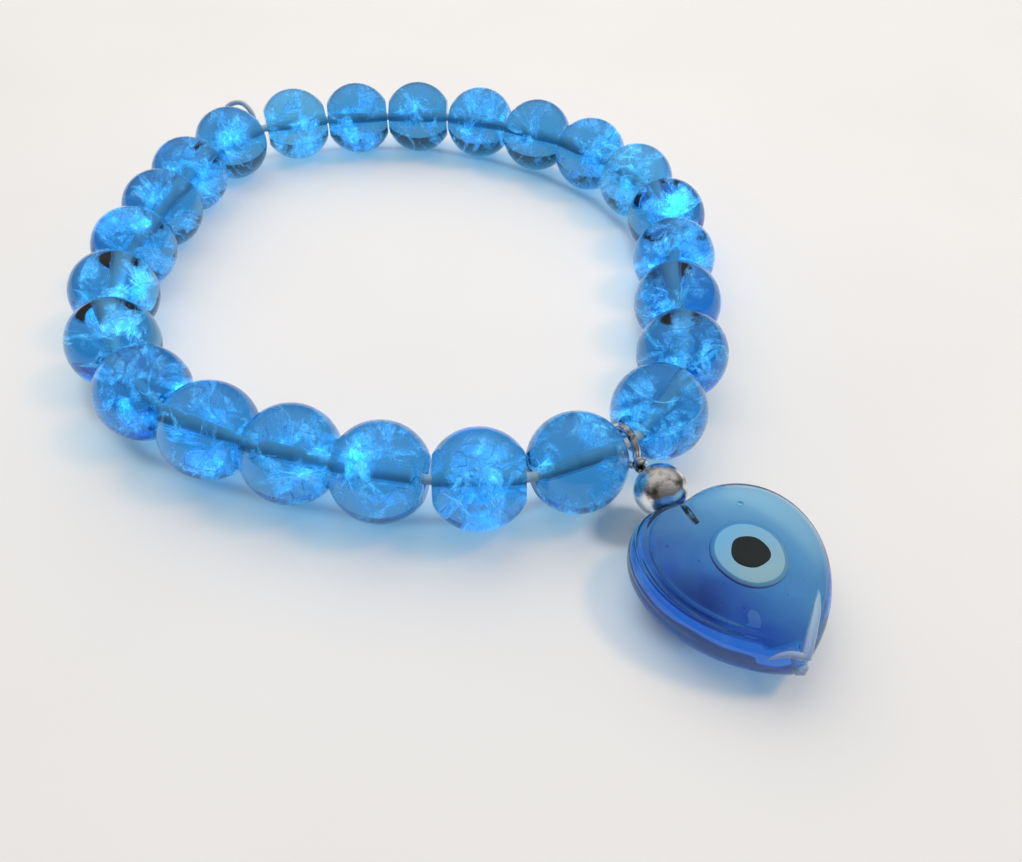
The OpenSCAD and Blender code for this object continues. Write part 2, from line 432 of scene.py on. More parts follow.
@dataclass(frozen=True)
class FractureFilm:
    """Air film in the cracks of quenched glass: a pale veil with small white flashes.

    The film scatters light from both of its sides. It fades towards the crack's rim and
    comes and goes in wrinkled patches. Its small white flashes are painted glints, and its
    thin dark lines where the crack branches are painted shade.
    """

    name: str = "air film in quench cracks"
    veil: str = "#A4DCF0"
    painted_glint: str = "#F4FFFF"
    line: str = "#123C86"
    patch_mm: float = 1.8
    wrinkle_mm: float = 0.6
    cell_mm: float = 1.5
    wrinkle_height: float = 0.12
    veil_share: float = 0.85
    painted_glint_share: float = 0.95
    shade_line_share: float = 0.6

    def scatter(self, tree: bpy.types.NodeTree, colour: str, bump: bpy.types.Node
                ) -> bpy.types.NodeSocket:
        """Adds a film that is lit from in front and from behind.

        Args:
            tree: the material's node tree.
            colour: the film's colour.
            bump: node that gives its wrinkles.

        Returns:
            The film's shader.
        """
        sides = [add_node(tree, kind, {"Color": linear(colour)}, {"Normal": bump.outputs["Normal"]})
                 for kind in ("ShaderNodeBsdfDiffuse", "ShaderNodeBsdfTranslucent")]
        both = add_node(tree, "ShaderNodeAddShader", None, {
            0: sides[0].outputs[0], 1: sides[1].outputs[0]})
        return both.outputs[0]

    def material(self) -> bpy.types.Material:
        """Builds the film.

        Returns:
            The material.
        """
        material, tree = new_material(self.name)
        place = add_node(tree, "ShaderNodeTexCoord").outputs["Object"]
        rim = add_node(tree, "ShaderNodeAttribute", {"attribute_name": "inward"})
        patches = add_node(tree, "ShaderNodeTexNoise", {
            "Scale": 1 / (self.patch_mm * MM), "Detail": 4.0, "Roughness": 0.6,
            "Distortion": 0.8}, {"Vector": place})
        wrinkles = add_node(tree, "ShaderNodeTexNoise", {
            "Scale": 1 / (self.wrinkle_mm * MM), "Detail": 3.0, "Distortion": 1.5},
            {"Vector": place})
        shown = add_node(tree, "ShaderNodeMapRange", {
            "From Min": 0.47, "From Max": 0.60, "To Max": self.veil_share},
            {"Value": patches.outputs["Fac"]})
        inside = add_node(tree, "ShaderNodeMath", {"operation": "MULTIPLY"}, {
            0: shown.outputs["Result"], 1: rim.outputs["Fac"]})
        bump = add_node(tree, "ShaderNodeBump", {
            "Strength": 1.0, "Distance": self.wrinkle_height * MM},
            {"Height": wrinkles.outputs["Fac"]})
        clear = add_node(tree, "ShaderNodeBsdfTransparent", {"Color": (1, 1, 1, 1)})
        veil = add_node(tree, "ShaderNodeMixShader", None, {
            0: inside.outputs[0], 1: clear.outputs[0],
            2: self.scatter(tree, self.veil, bump)})
        # Painted glints: small white patches on the wrinkles, standing for light glancing off the film
        spots = add_node(tree, "ShaderNodeMapRange", {
            "From Min": 0.52, "From Max": 0.6, "To Max": self.painted_glint_share},
            {"Value": wrinkles.outputs["Fac"]})
        painted_glint = add_node(tree, "ShaderNodeMath", {"operation": "MULTIPLY"}, {
            0: spots.outputs["Result"], 1: inside.outputs[0]})
        bright = add_node(tree, "ShaderNodeMixShader", None, {
            0: painted_glint.outputs[0], 1: veil.outputs[0],
            2: self.scatter(tree, self.painted_glint, bump)})
        # Painted shade: thin dark lines along the cells' edges, where the crack branches
        cells = add_node(tree, "ShaderNodeTexVoronoi", {
            "feature": "DISTANCE_TO_EDGE", "Scale": 1 / (self.cell_mm * MM)},
            {"Vector": place})
        edge = add_node(tree, "ShaderNodeMapRange", {
            "From Min": 0.03, "From Max": 0.012, "To Max": self.shade_line_share},
            {"Value": cells.outputs["Distance"]})
        drawn = add_node(tree, "ShaderNodeMath", {"operation": "MULTIPLY"}, {
            0: edge.outputs["Result"], 1: inside.outputs[0]})
        dark = add_node(tree, "ShaderNodeBsdfTransparent", {"Color": linear(self.line)})
        whole = add_node(tree, "ShaderNodeMixShader", None, {
            0: drawn.outputs[0], 1: bright.outputs[0], 2: dark.outputs[0]})
        # The films hardly shade the table
        rays = add_node(tree, "ShaderNodeLightPath")
        through = add_node(tree, "ShaderNodeBsdfTransparent", {"Color": linear("#FBFEFF")})
        both = add_node(tree, "ShaderNodeMixShader", None, {
            0: rays.outputs["Is Shadow Ray"], 1: whole.outputs[0], 2: through.outputs[0]})
        add_node(tree, "ShaderNodeOutputMaterial", None, {"Surface": both.outputs[0]})
        return material


@dataclass(frozen=True)
class OpaqueGlass:
    """Opaque lampwork glass laid on as a hot dot: cloudy inside, glossy on top."""

    name: str
    colour: str
    cloud: str
    fade: Fade
    roughness: float = 0.08
    coat: float = 0.3

    def material(self) -> bpy.types.Material:
        """Builds the glass.

        Returns:
            The material.
        """
        material, tree = new_material(self.name)
        place = add_node(tree, "ShaderNodeTexCoord").outputs["Object"]
        mix = add_node(tree, "ShaderNodeMix", {
            "data_type": "RGBA", MIX_A: linear(self.colour), MIX_B: linear(self.cloud)},
            {"Factor": self.fade.share(tree, place)})
        body = add_node(tree, "ShaderNodeBsdfPrincipled", {
            "Roughness": self.roughness, "IOR": 1.5, "Coat Weight": self.coat},
            {"Base Color": mix.outputs[MIX_RESULT]})
        add_node(tree, "ShaderNodeOutputMaterial", None, {"Surface": body.outputs[0]})
        return material


@dataclass(frozen=True)
class PlatedMetal:
    """Silver-plated brass: bright where it is polished, brown-grey where it has darkened.

    Fine scratches catch the light, and the tarnish sits in cloudy patches.
    """

    name: str
    bright: str
    dark: str
    roughness: float
    dark_from: float
    dark_to: float
    scratch_mm: float = 0.25
    scratch_height: float = 0.004

    def material(self) -> bpy.types.Material:
        """Builds the metal.

        Returns:
            The material.
        """
        material, tree = new_material(self.name)
        place = add_node(tree, "ShaderNodeTexCoord").outputs["Object"]
        cloud = add_node(tree, "ShaderNodeTexNoise", {
            "Scale": 1 / (1.1 * MM), "Detail": 5.0, "Roughness": 0.65}, {"Vector": place})
        share = add_node(tree, "ShaderNodeMapRange", {
            "From Min": self.dark_from, "From Max": self.dark_to},
            {"Value": cloud.outputs["Fac"]})
        mix = add_node(tree, "ShaderNodeMix", {
            "data_type": "RGBA", MIX_A: linear(self.bright), MIX_B: linear(self.dark)},
            {"Factor": share.outputs["Result"]})
        stretched = add_node(tree, "ShaderNodeMapping", {"Scale": (1.0, 6.0, 1.0)},
                             {"Vector": place})
        marks = add_node(tree, "ShaderNodeTexNoise", {
            "Scale": 1 / (self.scratch_mm * 6 * MM), "Detail": 6.0, "Roughness": 0.7,
            "Distortion": 1.2}, {"Vector": stretched.outputs[0]})
        bump = add_node(tree, "ShaderNodeBump", {
            "Strength": 1.0, "Distance": self.scratch_height * MM},
            {"Height": marks.outputs["Fac"]})
        worn = add_node(tree, "ShaderNodeMapRange", {
            "From Min": 0.35, "From Max": 0.7, "To Min": self.roughness,
            "To Max": self.roughness * 2.2}, {"Value": marks.outputs["Fac"]})
        body = add_node(tree, "ShaderNodeBsdfPrincipled", {"Metallic": 1.0}, {
            "Base Color": mix.outputs[MIX_RESULT], "Roughness": worn.outputs["Result"],
            "Normal": bump.outputs["Normal"]})
        add_node(tree, "ShaderNodeOutputMaterial", None, {"Surface": body.outputs[0]})
        return material


@dataclass(frozen=True)
class Elastic:
    """Extruded clear polyurethane elastic: milky, slightly dull and faintly uneven."""

    name: str = "extruded clear elastic"
    colour: str = "#DCE8EE"
    haze: str = "#B9CFDB"

    def material(self) -> bpy.types.Material:
        """Builds the elastic.

        Returns:
            The material.
        """
        material, tree = new_material(self.name)
        place = add_node(tree, "ShaderNodeTexCoord").outputs["Object"]
        cloud = add_node(tree, "ShaderNodeTexNoise", {"Scale": 1 / (0.6 * MM), "Detail": 3.0},
                         {"Vector": place})
        mix = add_node(tree, "ShaderNodeMix", {
            "data_type": "RGBA", MIX_A: linear(self.colour), MIX_B: linear(self.haze)},
            {"Factor": cloud.outputs["Fac"]})
        bump = add_node(tree, "ShaderNodeBump", {"Strength": 1.0, "Distance": 0.01 * MM},
                        {"Height": cloud.outputs["Fac"]})
        body = add_node(tree, "ShaderNodeBsdfPrincipled", {
            "Roughness": 0.35, "IOR": 1.49, "Transmission Weight": 0.2},
            {"Base Color": mix.outputs[MIX_RESULT], "Normal": bump.outputs["Normal"]})
        add_node(tree, "ShaderNodeOutputMaterial", None, {"Surface": body.outputs[0]})
        return material


@dataclass(frozen=True)
class Table:
    """White laminate: a smooth, faintly mottled board with a soft sheen."""

    name: str = "white laminate"
    colour: str = "#F6F5F4"
    shade: str = "#EFEDED"

    def material(self) -> bpy.types.Material:
        """Builds the board.

        Returns:
            The material.
        """
        material, tree = new_material(self.name)
        place = add_node(tree, "ShaderNodeTexCoord").outputs["Object"]
        cloud = add_node(tree, "ShaderNodeTexNoise", {"Scale": 1 / (30 * MM), "Detail": 2.0},
                         {"Vector": place})
        mix = add_node(tree, "ShaderNodeMix", {
            "data_type": "RGBA", MIX_A: linear(self.colour), MIX_B: linear(self.shade)},
            {"Factor": cloud.outputs["Fac"]})
        body = add_node(tree, "ShaderNodeBsdfPrincipled", {"Roughness": 0.38, "IOR": 1.45},
                        {"Base Color": mix.outputs[MIX_RESULT]})
        add_node(tree, "ShaderNodeOutputMaterial", None, {"Surface": body.outputs[0]})
        return material


# ----------------------------------------------------------------------- sub-assemblies


@dataclass
class Bead:
    """One round bead, pressed and drilled, then heated and quenched so that it cracks."""

    number: int
    glass: bpy.types.Material
    ground: bpy.types.Material
    film: bpy.types.Material
    diameter: float = 8.0
    length: float = 7.0
    bore: float = 1.0
    rim: float = 0.35
    mouth: float = 0.1
    segments: int = 72
    wall_rings: int = 8
    cracks: int = 18
    crack_rings: int = 7
    crack_around: int = 18
    skin_share: float = 0.94
    end_share: float = 0.46
    bore_room: float = 0.15

    @property
    def tag(self) -> str:
        """The bead's number in two digits, as in its node's name."""
        return f"{self.number:02d}"

    def placed(self, points: np.ndarray) -> np.ndarray:
        """Moves points from the bead's own frame to its place on the strand."""
        spin = joint(f"bead_spin_{self.tag}")
        return points @ axes_from(Vector(spin["axis"])) + np.array(spin["pos_m"]) / MM

    def profile(self) -> list:
        """Draws the half section: bore, mouths, flattened ends and the round outside.

        Returns:
            (along, radius) points round the section.
        """
        radius, half = self.diameter / 2, self.length / 2
        # The flat end meets the sphere in a small fillet that lies inside both
        inner = radius - self.rim
        flat = math.sqrt(inner ** 2 - (half - self.rim) ** 2)
        lean = math.degrees(math.atan2(flat, half - self.rim))
        bore = self.bore / 2
        outside = arc((0, 0), radius, lean, 180 - lean, 45)
        right = (arc((half - self.mouth, bore + self.mouth), self.mouth, -90, 0, 5)
                 + [(half, (flat + bore) / 2)]
                 + arc((half - self.rim, flat), self.rim, 0, lean, 7)[:-1])
        left = [(-x, r) for x, r in reversed(right)]
        wall = [(x, bore) for x in np.linspace(-half * 0.95, half * 0.95, self.wall_rings)]
        return right + outside + left + wall

    def build_glass(self) -> bpy.types.Object:
        """Turns the glass, with the slight unevenness of a pressed bead.

        Returns:
            The glass piece.
        """
        points, faces = lathe(self.profile(), self.segments)
        outside = np.linalg.norm(points[:, 1:], axis=1) > self.bore
        uneven = (ripple(points, self.number, 5.0) - 1) * 0.006
        points[outside] *= 1 + uneven[outside, None]
        piece = mesh_piece(f"bead_{self.tag}_glass", self.placed(points), faces, self.glass)
        piece.data.materials.append(self.ground)
        wall = len(self.profile()) - self.wall_rings
        for face in piece.data.polygons[wall * self.segments:(wall + self.wall_rings - 1)
                                        * self.segments]:
            face.material_index = 1
        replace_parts(piece, f"bead_{self.tag}")
        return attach(piece, f"turning_bead_{self.tag}")

    def crack(self, rng: np.random.Generator) -> tuple[np.ndarray, np.ndarray]:
        """Shapes one shell-like crack inside the glass.

        Args:
            rng: seeded source of this bead's random draws.

        Returns:
            Points as rings from the middle out, and how far inward each one is.
        """
        radius = self.diameter / 2
        way = rng.normal(size=3)
        way /= np.linalg.norm(way)
        middle = way * radius * rng.uniform(0.3, 0.72)
        normal = rng.normal(size=3)
        normal -= way * (normal @ way) * rng.uniform(0.2, 1.0)
        normal /= np.linalg.norm(normal)
        across = np.cross(normal, way + 0.01)
        across /= np.linalg.norm(across)
        along = np.cross(normal, across)
        reach, stretch = rng.uniform(0.9, 2.6), rng.uniform(0.5, 1.0)
        cup, phase = rng.uniform(-0.16, 0.16), rng.uniform(0, 2 * math.pi, 3)
        points, inward = [], []
        for ring in range(self.crack_rings):
            share = (ring + 0.02) / (self.crack_rings - 1)
            for t in np.linspace(0, 2 * math.pi, self.crack_around, endpoint=False):
                out = reach * share * (1 + 0.22 * math.sin(2 * t + phase[0])
                                       + 0.14 * math.sin(5 * t + phase[1]))
                lift = cup * out ** 2 + 0.1 * share * math.sin(3 * t + phase[2])
                points.append(middle + across * out * math.cos(t)
                              + along * out * stretch * math.sin(t) + normal * lift)
                inward.append(1 - share ** 4)
        return np.array(points), np.array(inward)

    def kept_inside(self, points: np.ndarray) -> np.ndarray:
        """Presses crack points back inside the glass, clear of its skin and its bore.

        Args:
            points: places in the bead's own frame.

        Returns:
            The moved points.
        """
        limit = self.diameter / 2 * self.skin_share
        far = np.linalg.norm(points, axis=1)
        points = points * np.minimum(1, limit / np.maximum(far, 1e-6))[:, None]
        reach = self.length * self.end_share
        points[:, 0] = np.clip(points[:, 0], -reach, reach)
        off = np.linalg.norm(points[:, 1:], axis=1)
        clear = self.bore / 2 + self.bore_room
        points[:, 1:] *= np.maximum(1, clear / np.maximum(off, 1e-6))[:, None]
        return points

    def build_cracks(self) -> bpy.types.Object:
        """Builds the bead's cracks as one piece of thin shells.

        Returns:
            The piece.
        """
        rng = np.random.default_rng(100 + self.number)
        points, inward, faces = [], [], []
        for i in range(self.cracks):
            shell, depth = self.crack(rng)
            faces += grid_faces(self.crack_rings, self.crack_around, first=i * len(shell))
            points.append(self.kept_inside(shell))
            inward.append(depth)
        piece = mesh_piece(f"bead_{self.tag}_cracks", self.placed(np.vstack(points)), faces,
                           self.film)
        layer = piece.data.attributes.new("inward", "FLOAT", "POINT")
        layer.data.foreach_set("value", np.concatenate(inward).astype(np.float32))
        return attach(piece, f"turning_bead_{self.tag}")


@dataclass
class Strand:
    """The elastic that the beads are threaded on, cut where one stretch joins the next."""

    elastic: bpy.types.Material
    beads: int = 24
    cord: float = 0.8
    split: int = 14
    split_overlap: float = 3.3
    bead_length: float = 7.0
    knot_gap: int = 12
    knot_r: float = 0.62
    knot_out: float = 2.405
    tail: float = 0.6

    def centre(self, k: int) -> np.ndarray:
        """Middle of bead k, in millimetres."""
        return np.array(joint(f"bead_spin_{k:02d}")["pos_m"]) / MM

    def heading(self, k: int) -> np.ndarray:
        """Direction of bead k's hole."""
        return np.array(Vector(joint(f"bead_spin_{k:02d}")["axis"]).normalized())

    def span(self, start: np.ndarray, leave: np.ndarray, end: np.ndarray,
             arrive: np.ndarray) -> np.ndarray:
        """Draws the cord's centre line between two places.

        Args:
            start: where it starts.
            leave: its direction there.
            end: where it ends.
            arrive: its direction there.

        Returns:
            Points of a line that keeps to both holes and bends only between them.
        """
        reach = np.linalg.norm(end - start) * 0.44
        corner = [start, start + leave * reach * 0.5, start + leave * reach,
                  end - arrive * reach, end - arrive * reach * 0.5, end]
        return smooth_path(corner, 22)

    def piece(self, name: str, path: np.ndarray, diameter: float, *nodes: str) -> bpy.types.Object:
        """Builds one length of elastic.

        Args:
            name: its name.
            path: its centre line.
            diameter: its thickness.
            nodes: CAD nodes that it stands for.

        Returns:
            The piece.
        """
        points, faces = sweep(path, np.full(len(path), diameter / 2))
        made = mesh_piece(name, points, faces, self.elastic)
        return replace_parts(made, *nodes) if nodes else made

    def build(self) -> list[bpy.types.Object]:
        """Builds every length of elastic, each drawn out between the two that it joins.

        Returns:
            The pieces.
        """
        made = []
        for k in range(1, self.beads):
            if k == self.split:
                continue
            a, b = self.centre(k), self.centre(k + 1)
            path = self.span(a, self.heading(k), b, self.heading(k + 1))
            node = f"cord_{k:02d}" if k < self.split else f"cord_{k + 1:02d}"
            cord = self.piece(f"elastic_{k:02d}", path, self.cord, node)
            made.append(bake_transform(cord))
        made += self.build_charm_span() + self.build_split()
        return made

    def build_charm_span(self) -> list[bpy.types.Object]:
        """Builds the two lengths that meet at the charm's ring.

        Returns:
            The pieces.
        """
        last, first = self.centre(self.beads), self.centre(1)
        across = (first - last) / np.linalg.norm(first - last)
        hang = (last + first + (self.heading(self.beads) - self.heading(1))
                * self.bead_length / 2) / 2
        made = []
        for name, path, link, nodes, ends in (
            ("elastic_24", self.span(last, self.heading(self.beads), hang, across),
             "link_24", ("cord_charm",), (hang, last)),
            ("elastic_00", self.span(hang, across, first, self.heading(1)),
             "link_01", (), (hang, first)),
        ):
            cord = self.piece(name, path, self.cord, *nodes)
            made.append(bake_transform(cord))
        return made

    def build_split(self) -> list[bpy.types.Object]:
        """Builds the two lengths that telescope in the hole of the bead after the split.

        Returns:
            The pieces.
        """
        a, b = self.centre(self.split), self.centre(self.split + 1)
        along, after = self.heading(self.split), self.heading(self.split + 1)
        mouth = b - after * self.bead_length / 2
        sleeve_path = smooth_path([a, a + along * 1.5, mouth, mouth + after * 1.2,
                                   mouth + after * self.split_overlap], 20)
        before, behind = f"{self.split:02d}", f"{self.split + 1:02d}"
        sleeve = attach(self.piece(f"elastic_{before}", sleeve_path, self.cord,
                                    f"cord_{before}"), f"link_{before}")
        core_path = smooth_path([mouth + after * 0.9, b - after, b + after * 0.2], 14)
        # The core is thinner, so that it slides in the sleeve
        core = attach(self.piece(f"elastic_{behind}_core", core_path, self.cord * 0.94,
                                  f"cord_{behind}"), f"link_{behind}")
        return [sleeve, core]

    def build_knot(self) -> bpy.types.Object:
        """Ties the surgeon's knot, with its two trimmed tails.

        Returns:
            The knot.
        """
        a, b = self.centre(self.knot_gap), self.centre(self.knot_gap + 1)
        along = self.heading(self.knot_gap) + self.heading(self.knot_gap + 1)
        along /= np.linalg.norm(along)
        outward = np.cross(along, (0.0, 0.0, 1.0))
        axes = np.array([outward, along, (0.0, 0.0, 1.0)])
        middle = (a + b) / 2 + outward * self.knot_out
        turns = np.linspace(0, 2 * math.pi, 90)
        wound = self.knot_r - self.tail / 2
        ball = np.column_stack([wound * np.cos(3 * turns), wound * np.sin(2 * turns),
                                wound * np.sin(3 * turns + 1.1)])
        # The wound knot, then its two tails
        lines = [
            ball,
            smooth_path([(2.5, -0.9, -0.5), (1.7, -0.4, -0.2), (0.8, -0.1, 0), (0.1, 0, 0)], 30),
            smooth_path([(-0.1, 0.05, 0.3), (-0.1, 0.05, 0.7), (0.1, 0.1, 1.5), (0.6, 0.3, 2.1),
                         (1.2, 0.7, 2.5), (1.9, 1.4, 2.4), (2.2, 2.2, 2.0)], 40),
        ]
        points, faces = np.empty((0, 3)), []
        for line in lines:
            tube, quads = sweep(line, np.full(len(line), self.tail / 2 * 0.97), 12)
            faces += [tuple(i + len(points) for i in quad) for quad in quads]
            points = np.vstack([points, tube])
        knot = mesh_piece("elastic_knot", points @ axes + middle, faces, self.elastic)
        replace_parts(knot, "cord_knot")
        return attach(knot, f"link_{self.knot_gap + 1:02d}")


@dataclass
class Charm:
    """The charm: a wire ring and stem, a silver ball, and the glass heart with its eye.

    Its own frame has X from the cord to the heart's tip and Z up from its face.
    """

    finishes: dict[Slot, bpy.types.Material]
    underside_shade: bpy.types.Material
    wire: float = 0.45
    ring: float = 3.35
    ring_reach: float = 0.15
    ball: float = 4.1
    ball_reach: float = 4.98
    cleft: float = 7.08
    stem_depth: float = 2.3
    heart_len: float = 14.0
    heart_w: float = 14.2
    heart_t: float = 5.8
    heart_lean: float = 0.75
    edge_power: float = 0.78
    eye: tuple[float, float] = (0.05, 0.05)
    eye_d: float = 5.4
    pupil_d: float = 3.3
    drawn_size: tuple[float, float] = (14.4, 14.1)
    # Bubbles: along, aside, depth under the face and radius
    bubbles: tuple[tuple[float, float, float, float], ...] = (
        (2.75, 3.0, 0.3, 0.24), (5.2, -2.3, 1.0, 0.1), (8.3, -2.6, 1.3, 0.09),
        (9.4, -1.7, 0.9, 0.1), (9.9, 1.4, 1.1, 0.09), (3.2, -3.4, 0.8, 0.11),
        (9.6, 3.0, 0.6, 0.1), (2.6, -0.9, 0.7, 0.12))
    # Folds on the shoulder: from and to (degrees round), where, width (shares), depth (mm)
    folds: tuple[tuple[float, float, float, float, float], ...] = (
        (195, 345, 0.84, 0.022, 0.30), (215, 325, 0.91, 0.018, 0.24), (20, 130, 0.9, 0.03, 0.08))

    @property
    def belly(self) -> np.ndarray:
        """Middle of the heart in its own plane, measured from the cleft."""
        return np.array([self.heart_len * 0.46, self.heart_lean])

    def placed(self, points: np.ndarray) -> np.ndarray:
        """Moves points from the charm's own frame to its place."""
        hang = np.array(joint("charm_swing")["pos_m"]) / MM
        return np.asarray(points) @ axes_from(Vector(joint("ball_spin")["axis"])) + hang

    def piece(self, name: str, points: np.ndarray, faces: list, slot: Slot, body: str,
              *nodes: str) -> bpy.types.Object:
        """Makes one piece of the charm.

        Args:
            name: its name.
            points: its points in the charm's own frame.
            faces: its faces.
            slot: slot of its finish.
            body: CAD body that it rides on.
            nodes: CAD nodes that it stands for.

        Returns:
            The piece.
        """
        made = mesh_piece(name, self.placed(points), faces, self.finishes[slot])
        if nodes:
            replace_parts(made, *nodes)
        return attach(made, body)

    # -- glass heart

    def outline(self, turns: np.ndarray) -> np.ndarray:
        """Draws the heart's outline from its cleft round to its tip and back.

        Args:
            turns: angles in radians, 0 at the cleft and pi at the tip.

        Returns:
            One (x, y) row for each angle, measured from the cleft.
        """
        long, wide = self.drawn_size
        return np.stack([
            (6.3 - 8.2 * np.cos(turns) + 0.9 * np.cos(2 * turns) + np.cos(3 * turns))
            * self.heart_len / long,
            (5.75 * np.sin(turns) + 0.2 * np.sin(2 * turns) - 1.3 * np.sin(3 * turns))
            * self.heart_w / wide + self.heart_lean * np.sin(turns) ** 2], axis=1)

    def top(self, places: np.ndarray) -> np.ndarray:
        """Finds how high the heart's upper face is.

        Args:
            places: (x, y) rows measured from the cleft.

        Returns:
            The height at each place, above the heart's middle plane.
        """
        rim = self.outline(np.linspace(0, 2 * math.pi, 720, endpoint=False)) - self.belly
        rim_way = np.arctan2(rim[:, 1], rim[:, 0])
        order = np.argsort(rim_way)
        off = np.asarray(places) - self.belly
        full = np.interp(np.arctan2(off[:, 1], off[:, 0]), rim_way[order],
                         np.linalg.norm(rim, axis=1)[order], period=2 * math.pi)
        share = np.clip(np.linalg.norm(off, axis=1) / full, 0, 1)
        lean = np.arccos(share ** (1 / self.edge_power))
        return np.sin(lean) ** self.edge_power * self.heart_t / 2

    def fold(self, turns: np.ndarray, share: float) -> np.ndarray:
        """Finds how deep the folds are that a tool pressed along one lobe's shoulder.

        Args:
            turns: angles round the outline, in radians.
            share: distance from the heart's middle, as a share of the outline's.

        Returns:
            The depth at each angle, in millimetres.
        """
        depth = np.zeros(len(turns))
        for start, end, where, width, deep in self.folds:
            middle, half = math.radians((start + end) / 2), math.radians((end - start) / 2)
            off = np.clip(np.abs(turns - middle) / half, 0, 1)
            line = where + 0.035 * np.sin((turns - middle) * 1.7)
            depth += deep * np.cos(off * math.pi / 2) ** 2 * np.exp(-((share - line) / width) ** 2)
        return depth

    def shell(self, rings: int = 220, around: int = 480) -> tuple[np.ndarray, list]:
        """Builds the heart's glass from its lower face to its upper face.

        Args:
            rings: rings of points between the two faces' middles.
            around: points in each ring.

        Returns:
            Points, measured from the cleft, and faces.
        """
        turns = np.linspace(0, 2 * math.pi, around, endpoint=False)
        rim = self.outline(turns)
        points = []
        for lean in np.radians(np.linspace(-89.5, 89.5, rings)):
            share = math.cos(lean) ** self.edge_power
            height = math.copysign(abs(math.sin(lean)) ** self.edge_power, lean)
            depth = self.fold(turns, share) if lean > 0 else np.zeros(around)
            flat = self.belly + (rim - self.belly) * (share - depth * 0.05)[:, None]
            points.append(np.column_stack([flat, height * self.heart_t / 2 - depth]))
        points = np.vstack(points)
        faces = grid_faces(rings, around)
        last = (rings - 1) * around
        faces.append(tuple(reversed(range(around))))
        faces.append(tuple(last + i for i in range(around)))
        return points, faces

    def bubble(self, middle: Vec, radius: float) -> tuple[np.ndarray, list]:
        """Builds a bubble: a small round hole in the glass, so it faces inwards.

        Args:
            middle: its place, measured from the cleft.
            radius: its radius.

        Returns:
            Points and faces.
        """
        rings, around = 12, 20
        leans = np.radians(np.linspace(-88, 88, rings))
        turns = np.linspace(0, 2 * math.pi, around, endpoint=False)
        points = np.array([(math.cos(a) * math.cos(t), math.cos(a) * math.sin(t),
                            math.sin(a)) for a in leans for t in turns])
        faces = [tuple(reversed(f)) for f in grid_faces(rings, around)]
        last = (rings - 1) * around
        faces.append(tuple(range(around)))
        faces.append(tuple(last + i for i in reversed(range(around))))
        return points * radius + np.array(middle), faces

    def build_heart(self) -> bpy.types.Object:
        """Builds the transparent heart with a few bubbles in it.

        Returns:
            The piece.
        """
        points, faces = self.shell()
        for along, aside, deep, radius in self.bubbles:
            height = float(self.top(np.array([[along, aside]]))[0]) - deep
            ball, quads = self.bubble((along, aside, height), radius)
            faces += [tuple(i + len(points) for i in quad) for quad in quads]
            points = np.vstack([points, ball])
        return self.piece("heart_glass", points + (self.cleft, 0, 0), faces, Slot.HEART,
                          "charm", "heart")

    def build_dot(self, name: str, diameter: float, rise: float, sink: float, uneven: float,
                  slot: Slot, node: str, seed: int) -> bpy.types.Object:
        """Builds a dot of glass melted into the heart's upper face.

        Args:
            name: the piece's name.
            diameter: its width.
            rise: how far its middle stands above the heart's face.
            sink: how deep it goes in.
            uneven: share of its radius by which its edge wanders.
            slot: slot of its finish.
            node: CAD node that it stands for.
            seed: number that picks the edge's wander.

        Returns:
            The piece.
        """
        rng = np.random.default_rng(seed)
        phase = rng.uniform(0, 2 * math.pi, 3)
        around, rings = 96, 16
        turns = np.linspace(0, 2 * math.pi, around, endpoint=False)
        edge = diameter / 2 * (1 + uneven * (0.5 * np.sin(2 * turns + phase[0])
                                             + 0.3 * np.sin(3 * turns + phase[1])
                                             + 0.2 * np.sin(5 * turns + phase[2]) - 0.6))
        middle = self.belly + self.eye
        points = []
        for share in np.append(np.linspace(0.01, 1, rings) ** 0.7, 1.0):
            reach = (edge * share)[:, None]
            flat = middle + np.column_stack([np.cos(turns), np.sin(turns)]) * reach
            dome = rise * (1 - share ** 4) - 0.05 * share ** 8
            points.append(np.column_stack([flat, self.top(flat) + dome]))
        points[-1][:, 2] -= sink
        points = np.vstack(points) + (self.cleft, 0, 0)
        faces = grid_faces(rings + 1, around)
        faces.append(tuple(reversed(range(around))))
        faces.append(tuple(rings * around + i for i in range(around)))
        made = self.piece(name, points, faces, slot, "charm", node)
        made.data.materials.append(self.underside_shade)
        # The sunk wall and the underside, which look into the blue glass, take the painted shade
        for face in list(made.data.polygons[(rings - 1) * around:rings * around]) + [
                made.data.polygons[-1]]:
            face.material_index = 1
        return made

    def build_tip(self) -> bpy.types.Object:
        """Builds the drop and the pulled threads of clear glass at the heart's point.

        Returns:
            The piece.
        """
        end, drop_steps, thread_steps = self.heart_len, 26, 40
        drop = smooth_path([(end - 1.6, 0.1, 0.35), (end - 0.8, 0.05, 0.2), (end - 0.2, 0, 0.02),
                            (end + 0.3, -0.02, -0.05)], drop_steps)
        drop_r = np.interp(np.linspace(0, 1, drop_steps), [0, 0.45, 0.7, 0.9, 1.0],
                           [0.15, 0.46, 0.56, 0.5, 0.26])
        # Places along and aside of each thread, and its radius at the drop
        runs = [
            ([(end - 0.3, 0.1), (end - 1.2, 1.15), (end - 2.3, 2.45), (end - 3.4, 3.6)], 0.46),
            ([(end - 0.4, -0.1), (end - 0.9, -0.9), (end - 1.3, -2.0)], 0.3),
        ]
        points, faces = sweep(drop, drop_r, 20)
        for places, thick in runs:
            flat = np.array(places)
            # Each thread lies on the face, sunk in it by a third of its thickness
            line = smooth_path(np.column_stack([flat, self.top(flat)]), thread_steps)
            line[:, 2] = self.top(line[:, :2]) - thick * 0.35
            taper = np.interp(np.linspace(0, 1, thread_steps), [0, 0.3, 0.75, 1],
                              [1, 0.9, 0.7, 0.25])
            tube, quads = sweep(line, thick * taper, 16)
            faces += [tuple(i + len(points) for i in quad) for quad in quads]
            points = np.vstack([points, tube])
        return self.piece("heart_tip_glass", points + (self.cleft, 0, 0), faces, Slot.CLEAR,
                          "charm", "heart_tip")

    # -- metal

